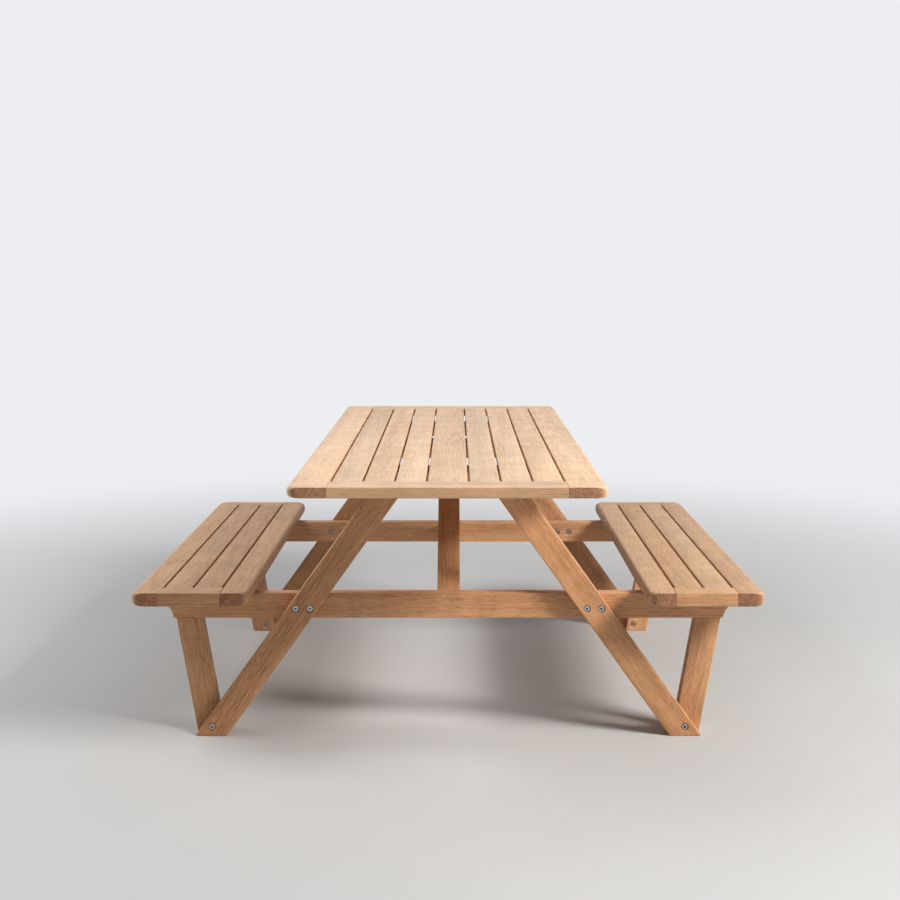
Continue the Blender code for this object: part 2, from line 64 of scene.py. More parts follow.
# Roundings
SLAT_ARRIS = 0.0028
RAIL_ARRIS = 0.0018       # on a side rail's edge beside the slats
BOARD_ARRIS = 0.0022
TOP_EDGE_RADIUS = 0.0125   # along the tabletop's long sides
BENCH_EDGE_RADIUS = 0.014  # along the benches' long sides
END_EDGE_RADIUS = 0.003    # across the ends of the tabletop and of the benches
ARRIS_SEGMENTS = 4
EDGE_SEGMENTS = 8
CORNER_SEGMENTS = 12
COVE_SEGMENTS = 20
FACET_ANGLE = math.radians(20)     # more than between two facets of a cove, less than at its ends
SMOOTH_ANGLE = math.radians(32)

# Bolts, nuts and screws
HEAD_RADIUS = 0.008
HEAD_THICK = 0.0035
HEAD_ROUND = 0.0009
HEAD_ROUND_SEGMENTS = 4
SHANK_RADIUS = 0.004
BORE_RADIUS = 0.0045
BORE_EASE = 0.0005        # small chamfer around a counterbore
NUT_RADIUS = 0.0075
SINKING_RADIUS = 0.010
SOCKET_RADIUS = 0.0034    # to the corners of the hexagon
SOCKET_DEPTH = 0.0045
ROUND_STEPS = 48
SCREW_HEAD_RADIUS = 0.0042
SCREW_SHANK_RADIUS = 0.0021
SCREW_LENGTH = 0.020
BENCH_SCREW_X = (0.566, 0.645)     # from the middle of the beam, between a leg and a strut
SCREW_ROW_INSET = 0.2     # share of the centre board's width
RECESS_LENGTH = 0.0046    # of the cross in a screw's head
RECESS_WIDTH = 0.0011
RECESS_DEPTH = 0.0014

# Camera
CAMERA_PLACE = (0.0189, -3.9724, 1.2861)
CAMERA_PITCH = math.radians(3)
CAMERA_LENS = 51.0
CAMERA_SHIFT = (-0.0059, -0.130)

# Light: directions point from the table's middle to the lamp
TABLE_MIDDLE = (0.0, 0.0, 0.5)
KEY_LIGHT = {"direction": (1.0, -0.62, 0.75), "distance": 5.5, "size": 1.3, "power": 362.0,
             "colour": (1.0, 0.97, 0.93)}
FILL_LIGHT = {"direction": (-2.2, -0.2, 2.0), "distance": 3.0, "size": 1.2, "power": 50.0,
              "colour": (1.0, 1.0, 1.0)}
OVERHEAD_DIRECTION = (0.0, 0.4, 1.0)
OVERHEAD_SPREAD = math.radians(120)
OVERHEAD_LIGHT = 0.4
BRIGHT_SIDE = (1.0, 0.3, 0.2)      # of the room
WALL_COLOUR = (0.96, 0.97, 1.0)
WALL_LIGHT = 0.88                  # of the white walls as seen directly or in gloss
ROOM_LIGHT = (0.05, 0.31)          # that the walls give, from the dim side and from the bright side

# Floor
FLOOR_HALF = 60.0
FLOOR_TOP = -0.0002                # just under the feet
FLOOR_UNDERSIDE = -0.02
FLOOR_FADE = (0.9, 4.2)            # distances between which it turns into the white of the walls
FLOOR_COLOURS = ((0.48, 0.48, 0.48), (0.53, 0.53, 0.527))
FLOOR_CLOUDS = 1.3                 # cycles a metre
FLOOR_ROUGHNESS = 0.7

# Wood colours: early and late growth, and the same on an upper face, paler there partly from sun
# bleaching and partly as painted light from above
TABLETOP_WOOD = {"pale": (0.64, 0.375, 0.205), "dark": (0.31, 0.145, 0.066),
                 "top": (0.685, 0.490, 0.335), "top_dark": (0.355, 0.215, 0.120), "bleach_and_top_light": 0.9,
                 "streaks": 1.3, "fibres": 1.2, "pores": 0.45}
BENCH_WOOD = {"pale": (0.60, 0.335, 0.175), "dark": (0.28, 0.13, 0.058),
              "top": (0.60, 0.385, 0.225), "top_dark": (0.31, 0.170, 0.090), "bleach_and_top_light": 0.85,
              "streaks": 1.5, "fibres": 1.4, "pores": 0.55}
FRAME_WOOD = {"pale": (0.63, 0.335, 0.165), "dark": (0.27, 0.115, 0.047),
              "top": (0.62, 0.37, 0.22), "top_dark": (0.40, 0.22, 0.12), "bleach_and_top_light": 0.0,
              "streaks": 1.25, "fibres": 1.8, "pores": 0.75}

# Growth rings, in metres
RING_WIDTH = (0.0034, 0.0052)      # one value for each board
PITH_REACH = (0.05, 0.13)          # from a board's middle to the heart of the tree
PITH_LEAN = 1.6                    # degrees at most, between the pith and the board
WANDER = {"stretch": (0.9, 5, 5), "sway": 0.030}
RIPPLE = {"stretch": (5, 60, 60), "sway": 0.0026}
LATE_GROWTH = ((0.0, 0.10), (0.45, 0.12), (0.82, 0.75), (0.93, 1.0), (1.0, 0.15))
YEAR_DEPTH = (0.3, 0.8)            # of every ring, and what chance adds to it from year to year
RING_DEPTH = 0.42                  # how much darker late growth is than early growth

# Figure along the grain, with its cycles a metre along the board and across it
BANDS = {"stretch": (0.7, 20, 20), "detail": 3, "roughness": 0.55}
STREAKS = {"stretch": (9, 200, 200), "detail": 4, "roughness": 0.7}
FIBRES = {"stretch": (30, 520, 520), "detail": 3, "roughness": 0.7}
MOTTLE = {"stretch": (14, 10, 10), "detail": 4, "roughness": 0.6}
RAYS = {"stretch": (40, 300, 90), "detail": 4, "roughness": 0.65}      # seen in the end grain
PORES = (55, 640, 640)
PORE_SIZE = (0.34, 0.16)           # shares of the way to the next pore, at a pore's rim and in it
PORE_SEASON = (0.55, 0.05)         # shares of a year's ring: most pores lie in its early growth
FEWEST_PORES = 0.25
NOISE_SPAN = (0.3, 0.7)            # where nearly all noise lies
FIGURE_SHIFT = 50                  # metres at most, so that no two boards have the same figure
BAND_DEPTH = 0.34
MOTTLE_TONE = (0.89, 1.08)
BOARD_DEPTH = (-0.10, 0.12)        # one value for each board, as are the next two
BOARD_TONE = (0.93, 1.07)
BOARD_WARMTH = 0.03

# How far a face must point one way: up to be made paler (sun bleaching and painted light from above),
# along the grain to be end grain, and along no axis to be an arris
FACES_UP = (0.55, 0.95)
FACES_END = (0.55, 0.92)
FACES_NO_WAY = (0.985, 0.90)

# End grain, arrises and surface
END_GRAIN_TINT = (1.0, 0.88, 0.90)
END_GRAIN_TONE = (0.84, 0.20)      # between the rays and in them
END_GRAIN_SPAN = (0.38, 0.92)      # of the rays, with a share of the rings, that the tone covers
END_GRAIN_RINGS = 0.35
END_GRAIN_ROUGHER = 0.14
# How much paler an arris is made: partly wear, partly a painted highlight
ARRIS_WEAR_AND_HIGHLIGHT = 0.35
WOOD_ROUGHNESS = (0.50, 0.66)
WOOD_IOR = 1.46
WOOD_SPECULAR = 0.30
WOOD_RELIEF = 0.0004               # depth of the fibres and pores
WOOD_RELIEF_STRENGTH = 0.45

# Stainless steel
STEEL = (0.50, 0.495, 0.485)
STEEL_STAIN = (0.36, 0.355, 0.345)
STAIN_SCALE = 260.0                # cycles a metre
# Painted shade inside the bolts' hexagonal sockets, much darker than the steel
SOCKET_PAINTED_SHADE = (0.05, 0.045, 0.04)
SOCKET_SHADE_EDGE = (0.80, 0.90)          # shares of the socket's radius between which the painted shade thins out
TURNING_MARKS = 5200.0             # cycles a metre of radius
STEEL_ROUGHNESS = 0.24
MARKS_ROUGHNESS = 0.16
STEEL_RELIEF = 0.00005
STEEL_RELIEF_STRENGTH = 0.35


# Shapes


def point(along, first, second, axis):
    """A point from its place along an axis and its two coordinates across it, in X, Y, Z order."""
    coordinates = [first, second]
    coordinates.insert("XYZ".index(axis), along)
    return coordinates


def prism(outline, low, high, axis):
    """A solid with the given outline across an axis, from low to high along it."""
    form = bmesh.new()
    ring = [form.verts.new(point(low, first, second, axis)) for first, second in outline]
    swept = bmesh.ops.extrude_face_region(form, geom=[form.faces.new(ring)])
    moved = [item for item in swept["geom"] if isinstance(item, bmesh.types.BMVert)]
    bmesh.ops.translate(form, verts=moved, vec=point(high - low, 0, 0, axis))
    bmesh.ops.recalc_face_normals(form, faces=form.faces)
    return form


def block(low, high):
    """A box from its lowest corner to its highest."""
    outline = [(low[0], low[1]), (high[0], low[1]), (high[0], high[1]), (low[0], high[1])]
    return prism(outline, low[2], high[2], "Z")


def turned(profile, place, axis="Y"):
    """A solid of revolution about an axis through a place, from (radius, way along) points."""
    form = bmesh.new()
    chain = [form.verts.new(point(along, radius, 0, axis)) for radius, along in profile]
    edges = [form.edges.new(pair) for pair in zip(chain, chain[1:])]
    bmesh.ops.spin(form, geom=chain + edges, cent=(0, 0, 0), axis=point(1, 0, 0, axis),
                   angle=math.tau, steps=ROUND_STEPS)
    bmesh.ops.remove_doubles(form, verts=form.verts, dist=SLACK / 10)
    bmesh.ops.recalc_face_normals(form, faces=form.faces)
    bmesh.ops.translate(form, verts=form.verts, vec=place)
    return form


def slab(rim, low, high):
    """A flat solid with a rounded rim, from low to high in Z.

    Each point of the rim is its X and Y, the radius of the rounding there, and the way inwards.
    """
    form = bmesh.new()
    rings = []
    for face, way in ((low, 1), (high, -1)):
        for step in range(EDGE_SEGMENTS + 1)[::way]:
            angle = step / EDGE_SEGMENTS * math.pi / 2
            rings.append([form.verts.new((x + radius * (1 - math.sin(angle)) * inwards_x,
                                          y + radius * (1 - math.sin(angle)) * inwards_y,
                                          face + way * radius * (1 - math.cos(angle))))
                          for x, y, radius, inwards_x, inwards_y in rim])
    form.faces.new(rings[0])
    form.faces.new(rings[-1])
    for lower, upper in zip(rings, rings[1:]):
        for index in range(len(rim)):
            form.faces.new((lower[index - 1], lower[index], upper[index], upper[index - 1]))
    bmesh.ops.recalc_face_normals(form, faces=form.faces)
    return form


def bevel(form, chosen, width, segments):
    """Rounds those edges of a solid that pass the test."""
    edges = [edge for edge in form.edges if chosen(edge)]
    bmesh.ops.bevel(form, geom=edges, offset=width, segments=segments, profile=0.5,
                    affect="EDGES", clamp_overlap=False)
    return form


def eased(form, chosen):
    """A board of the frame with the arris taken off the edges that pass the test."""
    return bevel(form, chosen, BOARD_ARRIS, ARRIS_SEGMENTS)


def to_mesh(form, name):
    mesh = bpy.data.meshes.new(name)
    form.to_mesh(mesh)
    form.free()
    return mesh


def merged(forms, name):
    """One mesh that holds several separate forms."""
    whole = bmesh.new()
    for form in forms:
        part = to_mesh(form, name)
        whole.from_mesh(part)
        bpy.data.meshes.remove(part)
    return to_mesh(whole, name)


def combined(mesh, forms, operation):
    """The mesh after a Boolean with forms that are clear of each other."""
    body = bpy.data.objects.new(mesh.name, mesh)
    tool = bpy.data.objects.new("tool", merged(forms, "tool"))
    for item in (body, tool):
        bpy.context.scene.collection.objects.link(item)
    change = body.modifiers.new(operation, "BOOLEAN")
    change.operation = operation
    change.solver = "EXACT"
    change.object = tool
    bpy.context.view_layer.update()
    seen = body.evaluated_get(bpy.context.evaluated_depsgraph_get())
    result = bpy.data.meshes.new_from_object(seen)
    for item in (body, tool):
        data = item.data
        bpy.data.objects.remove(item, do_unlink=True)
        bpy.data.meshes.remove(data)
    return result


def shaped(form, name, added=(), taken=()):
    """A piece's mesh from its blank, with tenons added and mortises and holes taken away."""
    mesh = to_mesh(form, name)
    if added:
        mesh = combined(mesh, added, "UNION")
    if taken:
        mesh = combined(mesh, taken, "DIFFERENCE")
    return mesh


def corners_of(node):
    return [vertex.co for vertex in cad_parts[node].data.vertices]


def half_hull(points):
    """One side of the convex hull of sorted points, but for its last point."""
    side = []
    for here in points:
        while len(side) > 1 and ((side[-1][0] - side[-2][0]) * (here[1] - side[-2][1])
                                 <= (side[-1][1] - side[-2][1]) * (here[0] - side[-2][0])):
            side.pop()
        side.append(here)
    return side[:-1]


def outline_of(node, axis, kept):
    """The outline of a CAD node seen along an axis, from those of its corners that pass the test."""
    across = [index for index in range(3) if "XYZ"[index] != axis]
    flat = sorted({(round(corner[across[0]], 5), round(corner[across[1]], 5))
                   for corner in corners_of(node) if kept(corner)})
    hull = half_hull(flat) + half_hull(flat[::-1])
    clean = []
    for index, here in enumerate(hull):
        before, after = hull[index - 1], hull[(index + 1) % len(hull)]
        into = Vector(here) - Vector(before)
        onwards = Vector(after) - Vector(here)
        if abs(into.normalized().cross(onwards.normalized())) > STRAIGHT:
            clean.append(here)
    return clean


def box_of(corners):
    return [Vector([pick(corner[index] for corner in corners) for index in range(3)])
            for pick in (min, max)]


def grown(low, high, by):
    """A box with some air around it."""
    return block([value - by for value in low], [value + by for value in high])


# Pieces


def finished(name, mesh, material, node=None):
    """Puts a mesh made in the table's frame on an object of its own, with its origin in its middle."""
    low, high = box_of([vertex.co for vertex in mesh.vertices])
    place = Matrix.Translation((low + high) / 2)
    mesh.transform(place.inverted())
    mesh.materials.clear()
    mesh.materials.append(material)
    mesh.shade_smooth()
    mesh.set_sharp_from_angle(angle=SMOOTH_ANGLE)
    mesh.name = name
    made = bpy.data.objects.new(name, mesh)
    bpy.context.scene.collection.objects.link(made)
    made.matrix_world = place
    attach(made, "root")
    if node:
        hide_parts(node)


def wooden(node, mesh, along, up, look):
    """The finely shaped board that stands for a CAD node. Its grain runs one way or the other."""
    chance = random.Random(node)
    along = Vector(along).normalized() * chance.choice((-1, 1))
    up = Vector(up)
    grain = Matrix((along, up.cross(along), up)).to_euler()
    finished(f"{node}_board", mesh, teak(f"{node}_wood", look, grain, chance), node)


def framing(node, mesh, along, up):
    """A board of the end frames, or one under the slats."""
    wooden(node, mesh, along, up, FRAME_WOOD)


def is_along(edge, axis):
    ends = [corner.co for corner in edge.verts]
    across = [index for index in range(3) if "XYZ"[index] != axis]
    return all(abs(ends[0][index] - ends[1][index]) < SLACK for index in across)


def is_under(edge, face):
    """Whether an edge is part of a board's underside."""
    return all(corner.co.z < face + SLACK for corner in edge.verts)


# Slatted panels


def across_middle(low, high, thick):
    """The heights of a tongue's or a tenon's faces, midway between a board's faces."""
    middle = (low.z + high.z) / 2
    return middle - thick / 2, middle + thick / 2


def slat(node, look):
    """A slat with eased long edges and a tongue at each end."""
    low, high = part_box(node)
    blank = block((low.x, low.y + SLAT_TONGUE_LENGTH, low.z),
                  (high.x, high.y - SLAT_TONGUE_LENGTH, high.z))
    bevel(blank, lambda edge: is_along(edge, "Y"), SLAT_ARRIS, ARRIS_SEGMENTS)
    tongue_low, tongue_high = across_middle(low, high, SLAT_TONGUE_THICK)
    tongues = []
    for near, far in ((low.y, low.y + SLAT_TONGUE_LENGTH + OVERLAP),
                      (high.y - SLAT_TONGUE_LENGTH - OVERLAP, high.y)):
        tongues.append(block((low.x + SLAT_SHOULDER, near, tongue_low),
                             (high.x - SLAT_SHOULDER, far, tongue_high)))
    wooden(node, shaped(blank, node, added=tongues), (0, 1, 0), (0, 0, 1), look)


def side_rail(node, end_rails, edge_radius, look):
    """A side rail, round at its outer corners and edge, with a mortise near each end."""
    low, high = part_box(node)
    inwards = 1 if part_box(end_rails[0])[0].x > low.x else -1
    inner, outer = (high.x, low.x) if inwards > 0 else (low.x, high.x)
    centre_x = outer + inwards * CORNER_RADIUS
    arris = -inwards * RAIL_ARRIS / END_EDGE_RADIUS
    rim = [(inner, low.y, END_EDGE_RADIUS, arris, 1)]
    for turn, centre_y in ((-1, low.y + CORNER_RADIUS), (0, high.y - CORNER_RADIUS)):
        for step in range(CORNER_SEGMENTS + 1):
            share = step / CORNER_SEGMENTS
            angle = (turn + share) * math.pi / 2
            side_share = abs(math.cos(angle))
            rim.append((centre_x - inwards * CORNER_RADIUS * math.cos(angle),
                        centre_y + CORNER_RADIUS * math.sin(angle),
                        END_EDGE_RADIUS + (edge_radius - END_EDGE_RADIUS) * side_share,
                        inwards * math.cos(angle), -math.sin(angle)))
    rim.append((inner, high.y, END_EDGE_RADIUS, arris, -1))
    blank = slab(rim, low.z, high.z)
    tenon_low, tenon_high = across_middle(low, high, RAIL_TENON_THICK)
    mortises = []
    for end_rail_node in end_rails:
        rail_low, rail_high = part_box(end_rail_node)
        tip = rail_low.x if inwards > 0 else rail_high.x
        ends = sorted((tip, inner + inwards * OVERSHOOT))
        mortises.append(grown((ends[0], rail_low.y + RAIL_SHOULDER, tenon_low),
                              (ends[1], rail_high.y - RAIL_SHOULDER, tenon_high), FIT))
    wooden(node, shaped(blank, node, taken=mortises), (0, 1, 0), (0, 0, 1), look)


def end_rail(node, slats, look):
    """An end rail with an eased outer edge, tenons into the side rails and mortises for the slats."""
    low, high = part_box(node)
    outwards = 1 if low.y > 0 else -1
    outer = high.y if outwards > 0 else low.y
    blank = block((low.x + RAIL_TENON_LENGTH, low.y, low.z),
                  (high.x - RAIL_TENON_LENGTH, high.y, high.z))
    bevel(blank, lambda edge: is_along(edge, "X") and abs(edge.verts[0].co.y - outer) < SLACK,
          END_EDGE_RADIUS, EDGE_SEGMENTS)
    tenon_low, tenon_high = across_middle(low, high, RAIL_TENON_THICK)
    tenons = []
    for near, far in ((low.x, low.x + RAIL_TENON_LENGTH + OVERLAP),
                      (high.x - RAIL_TENON_LENGTH - OVERLAP, high.x)):
        tenons.append(block((near, low.y + RAIL_SHOULDER, tenon_low),
                            (far, high.y - RAIL_SHOULDER, tenon_high)))
    inner = low.y if outwards > 0 else high.y
    mortises = []
    for slat_node in slats:
        slat_low, slat_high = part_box(slat_node)
        tip = slat_high.y if outwards > 0 else slat_low.y
        ends = sorted((tip, inner - outwards * OVERSHOOT))
        tongue_low, tongue_high = across_middle(slat_low, slat_high, SLAT_TONGUE_THICK)
        mortises.append(grown((slat_low.x + SLAT_SHOULDER, ends[0], tongue_low),
                              (slat_high.x - SLAT_SHOULDER, ends[1], tongue_high), FIT))
    wooden(node, shaped(blank, node, tenons, mortises), (1, 0, 0), (0, 0, 1), look)


def panel(name, edge_radius, look):
    """All rails and slats of the tabletop or of a bench."""
    nodes = sorted(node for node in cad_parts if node.startswith(f"{name}_"))
    slats = [node for node in nodes if "_slat_" in node]
    end_rails = [node for node in nodes if "_end_rail_" in node]
    for node in nodes:
        if "_slat_" in node:
            slat(node, look)
        elif "_side_rail_" in node:
            side_rail(node, end_rails, edge_radius, look)
        elif "_end_rail_" in node:
            end_rail(node, slats, look)


# End frames and the boards under the tabletop


def bolts_of(*starts):
    return [node for node in sorted(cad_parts) if node.startswith(starts)]


def bores(node, bolts):
    """Cutters for a board's bolt holes, counterbored where a head or a nut is sunk into it."""
    low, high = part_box(node)
    cutters = []
    for bolt_node in bolts:
        bolt_low, bolt_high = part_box(bolt_node)
        place = ((bolt_low.x + bolt_high.x) / 2, 0, (bolt_low.z + bolt_high.z) / 2)
        sides = []
        for face, seat, way in ((low.y, bolt_low.y + HEAD_THICK, 1),
                                (high.y, bolt_high.y - HEAD_THICK, -1)):
            outside = face - way * OVERSHOOT
            if low.y < seat < high.y:
                sides.append([(0, outside), (SINKING_RADIUS + OVERSHOOT + BORE_EASE, outside),
                              (SINKING_RADIUS, face + way * BORE_EASE), (SINKING_RADIUS, seat),
                              (BORE_RADIUS, seat)])
            else:
                sides.append([(0, outside), (BORE_RADIUS, outside)])
        cutters.append(turned(sides[0] + sides[1][::-1], place))
    return cutters


def grain_of(outline, axis):
    """Direction of a board's longest side."""
    sides = [Vector(end) - Vector(start) for start, end in zip(outline, outline[1:] + outline[:1])]
    longest = max(sides, key=lambda side: side.length)
    return point(0, longest.x, longest.y, axis)


def frame_board(node, bolts, kept=lambda corner: True, tight=lambda edge: False, added=()):
    """A leg or a strut, cut to the outline of its kept CAD corners, eased but for its tight edges."""
    low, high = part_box(node)
    outline = outline_of(node, "Y", kept)
    blank = eased(prism(outline, low.y, high.y, "Y"), lambda edge: not tight(edge))
    mesh = shaped(blank, node, added, bores(node, bolts))
    framing(node, mesh, grain_of(outline, "Y"), (0, 1, 0))


def leg(node):
    where = node.removeprefix("leg_")
    frame_board(node, bolts_of(*(f"{kind}_bolt_{where}" for kind in ("crossing", "foot", "head"))))


def strut(node, beam):
    """A short strut, whose tenon goes up into the beam.

    Known fault: only the top of the tenon is made, as a plate inside the beam.
    """
    where = node.removeprefix("foot_strut_")
    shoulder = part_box(beam)[0].z

    def is_tight(edge):
        return all(corner.co.z > shoulder - 2 * FIT for corner in edge.verts)

    low, high = box_of([corner for corner in corners_of(node) if corner.z > shoulder])
    tenon = block((low.x, low.y, low.z - OVERLAP), high)
    frame_board(node, bolts_of(f"foot_bolt_{where}"), lambda corner: corner.z < shoulder, is_tight,
                [tenon])


def beam(node):
    """A cross beam with a cove under each end, mortises, counterbores and the benches' screws.

    Known fault: a strut's mortise is only a slot around the top of the tenon, open at the side.
    """
    end = node.removeprefix("cross_beam_")
    low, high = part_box(node)
    right = []
    for step in range(COVE_SEGMENTS + 1):
        angle = math.pi - step / COVE_SEGMENTS * math.pi / 2
        right.append((high.x + COVE_RADIUS * math.cos(angle), low.z + COVE_RADIUS * math.sin(angle)))
    right.append((high.x, high.z))
    outline = right + [(-x, z) for x, z in reversed(right)]
    tenons = [[corner for corner in corners_of(f"foot_strut_{end}_{side}") if corner.z > low.z]
              for side in ("left", "right")]
    tenons.append([corner for corner in corners_of(f"brace_{end}") if low.y < corner.y < high.y])
    taken = []
    for corners in tenons:
        tenon_low, tenon_high = box_of(corners)
        if low.y < 0:
            tenon_high.y = high.y + OVERSHOOT
        else:
            tenon_low.y = low.y - OVERSHOOT
        taken.append(grown(tenon_low, tenon_high, FIT))
    places = [(side * x, (low.y + high.y) / 2) for side in (-1, 1) for x in BENCH_SCREW_X]
    blank = eased(prism(outline, low.y, high.y, "Y"), is_no_facet)
    taken += [screw_sink(x, y, low.z) for x, y in places]
    mesh = shaped(blank, node, taken=taken + bores(node, bolts_of(f"crossing_bolt_{end}")))
    framing(node, mesh, (1, 0, 0), (0, 1, 0))
    screws(node, places, low.z)


def is_no_facet(edge):
    """Whether an edge is a real one, and not just the line between two facets of a cove."""
    if not is_along(edge, "Y"):
        return True
    normals = [face.normal for face in edge.link_faces]
    return normals[0].angle(normals[1]) > FACET_ANGLE


def brace(node, beam_node):
    """A diagonal brace, with a tenon into the beam's inner face."""
    low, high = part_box(node)
    beam_low, beam_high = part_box(beam_node)
    front = low.y < -high.y
    face = beam_high.y if front else beam_low.y

    def is_clear(corner):
        return corner.y > face if front else corner.y < face

    outline = outline_of(node, "X", is_clear)
    top = max(z for _, z in outline)

    def is_tight(edge):
        ends = [corner.co for corner in edge.verts]
        return (all(end.z > top - SLACK for end in ends)
                or all(abs(end.y - face) < 2 * FIT for end in ends))

    tenon_low, tenon_high = box_of([corner for corner in corners_of(node) if not is_clear(corner)])
    if front:
        tenon_high.y = face + OVERLAP
    else:
        tenon_low.y = face - OVERLAP
    blank = eased(prism(outline, low.x, high.x, "X"), lambda edge: not is_tight(edge))
    mesh = shaped(blank, node, added=[block(tenon_low, tenon_high)])
    framing(node, mesh, grain_of(outline, "X"), (1, 0, 0))


def screw_sink(x, y, face):
    """A countersink in a board's underside for a screw's head, with its pilot hole."""
    profile = [(0, -OVERSHOOT), (SCREW_HEAD_RADIUS + OVERSHOOT, -OVERSHOOT),
               (SCREW_SHANK_RADIUS + FIT, SCREW_HEAD_RADIUS - SCREW_SHANK_RADIUS - FIT),
               (SCREW_SHANK_RADIUS + FIT, SCREW_LENGTH + FIT), (0, SCREW_LENGTH + FIT)]
    return turned(profile, (x, y, face), "Z")


def screws(node, places, face):
    """Countersunk cross-head screws in a board's underside, as one piece."""
    forms = []
    for x, y in places:
        rise = SCREW_HEAD_RADIUS - SCREW_SHANK_RADIUS
        profile = [(0, FIT), (SCREW_HEAD_RADIUS - 2 * FIT, FIT), (SCREW_SHANK_RADIUS, rise + FIT),
                   (SCREW_SHANK_RADIUS, SCREW_LENGTH), (0, SCREW_LENGTH)]
        forms.append(turned(profile, (x, y, face), "Z"))
    mesh = merged(forms, f"{node}_screws")
    for long_x, long_y in ((RECESS_LENGTH, RECESS_WIDTH), (RECESS_WIDTH, RECESS_LENGTH)):
        slots = [block((x - long_x / 2, y - long_y / 2, face - OVERSHOOT),
                       (x + long_x / 2, y + long_y / 2, face + FIT + RECESS_DEPTH))
                 for x, y in places]
        mesh = combined(mesh, slots, "DIFFERENCE")
    finished(f"{node}_screws", mesh, SCREW_STEEL)


def middle_x(node):
    return sum(corner.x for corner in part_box(node)) / 2


def lapped_board(node, rows, bolts=()):
    """A board under the slats, thinned at both ends under the side rails, with its screws."""
    low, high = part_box(node)
    inner = high.x - BATTEN_LAP
    lap_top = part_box("top_side_rail_left")[0].z - FIT
    outline = [(-high.x, low.z), (high.x, low.z), (high.x, lap_top), (inner, lap_top),
               (inner, high.z), (-inner, high.z), (-inner, lap_top), (-high.x, lap_top)]
    blank = eased(prism(outline, low.y, high.y, "Y"), lambda edge: is_under(edge, low.z))
    columns = [middle_x(slat_node) for slat_node in sorted(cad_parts)
               if slat_node.startswith("top_slat_")]
    columns += [-high.x + BATTEN_LAP / 2, high.x - BATTEN_LAP / 2]
    places = [(x, y) for x in columns for y in rows]
    sinks = [screw_sink(x, y, low.z) for x, y in places]
    mesh = shaped(blank, node, taken=sinks + bores(node, bolts))
    framing(node, mesh, (1, 0, 0), (0, 0, 1))
    screws(node, places, low.z)


def plain_board(node, bolts=(), screw_columns=()):
    """A short board with square ends: a cleat or a bench's batten."""
    low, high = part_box(node)
    blank = eased(block(low, high), lambda edge: is_under(edge, low.z))
    places = [(x, (low.y + high.y) / 2) for x in screw_columns]
    sinks = [screw_sink(x, y, low.z) for x, y in places]
    mesh = shaped(blank, node, taken=sinks + bores(node, bolts))
    framing(node, mesh, (1, 0, 0), (0, 0, 1))
    if places:
        screws(node, places, low.z)


def bolt(node):
    """A bolt with a round head, and its sleeve nut, both with a hexagonal socket."""
    low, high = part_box(node)
    outwards = -1 if low.y < 0 else 1
    x = (low.x + high.x) / 2
    z = (low.z + high.z) / 2
    outer, inner = (low.y, high.y) if outwards < 0 else (high.y, low.y)
    split = (outer + inner) / 2
    corners = [corner * math.tau / 6 for corner in range(6)]
    hexagon = [(x + SOCKET_RADIUS * math.cos(corner), z + SOCKET_RADIUS * math.sin(corner))
               for corner in corners]
    for part, radius, face, way, replaced in (("head", HEAD_RADIUS, outer, outwards, node),
                                              ("nut", NUT_RADIUS, inner, -outwards, None)):
        seat = face - way * HEAD_THICK
        profile = [(0, face), (radius - HEAD_ROUND, face)]
        for step in range(1, HEAD_ROUND_SEGMENTS + 1):
            angle = step / HEAD_ROUND_SEGMENTS * math.pi / 2
            profile.append((radius - HEAD_ROUND + HEAD_ROUND * math.sin(angle),
                            face - way * HEAD_ROUND * (1 - math.cos(angle))))
        profile += [(radius, seat), (SHANK_RADIUS, seat), (SHANK_RADIUS, split + way * FIT),
                    (0, split + way * FIT)]
        ends = sorted((face - way * SOCKET_DEPTH, face + way * OVERSHOOT))
        socket = prism(hexagon, ends[0], ends[1], "Y")
        mesh = shaped(turned(profile, (x, 0, z)), node, taken=[socket])
        finished(f"{node}_{part}", mesh, BOLT_STEEL, replaced)


# Materials


def node_of(tree, kind, values=None, **settings):
    """A shader node whose inputs are numbers, colours or other nodes' outputs."""
    made = tree.nodes.new(f"ShaderNode{kind}")
    for name, value in settings.items():
        setattr(made, name, value)
    for key, value in (values or {}).items():
        if isinstance(value, bpy.types.NodeSocket):
            tree.links.new(value, made.inputs[key])
        else:
            made.inputs[key].default_value = value
    return made


def maths(tree, operation, first, second=0.0, clamp=False):
    return node_of(tree, "Math", {0: first, 1: second}, operation=operation, use_clamp=clamp).outputs[0]


def vectors(tree, operation, first, second):
    return node_of(tree, "VectorMath", {0: first, 1: second}, operation=operation).outputs[0]


def length(tree, vector):
    return node_of(tree, "VectorMath", {0: vector}, operation="LENGTH").outputs["Value"]


def scaled(tree, vector, factor):
    return node_of(tree, "VectorMath", {0: vector, "Scale": factor}, operation="SCALE").outputs[0]


def noise(tree, place, stretch, detail=2, roughness=0.5, output="Fac"):
    """Noise from 0 to 1, with its own frequency along each axis, in cycles a metre."""
    at = vectors(tree, "MULTIPLY", place, stretch)
    return node_of(tree, "TexNoise", {"Vector": at, "Scale": 1.0, "Detail": detail,
                                      "Roughness": roughness}).outputs[output]


def swayed(tree, place, stretch, sway):
    """A push across the grain that changes from place to place, up to half the sway each way."""
    either_way = vectors(tree, "SUBTRACT", noise(tree, place, stretch, output="Color"), (0.5,) * 3)
    return vectors(tree, "MULTIPLY", either_way, (0, sway, sway))


def ranged(tree, value, low, high, to_low=0.0, to_high=1.0, kind="SMOOTHSTEP"):
    return node_of(tree, "MapRange", {"Value": value, "From Min": low, "From Max": high,
                                      "To Min": to_low, "To Max": to_high},
                   interpolation_type=kind).outputs[0]


def mixed(tree, share, first, second):
    return node_of(tree, "Mix", {0: share, 6: first, 7: second}, data_type="RGBA").outputs[2]


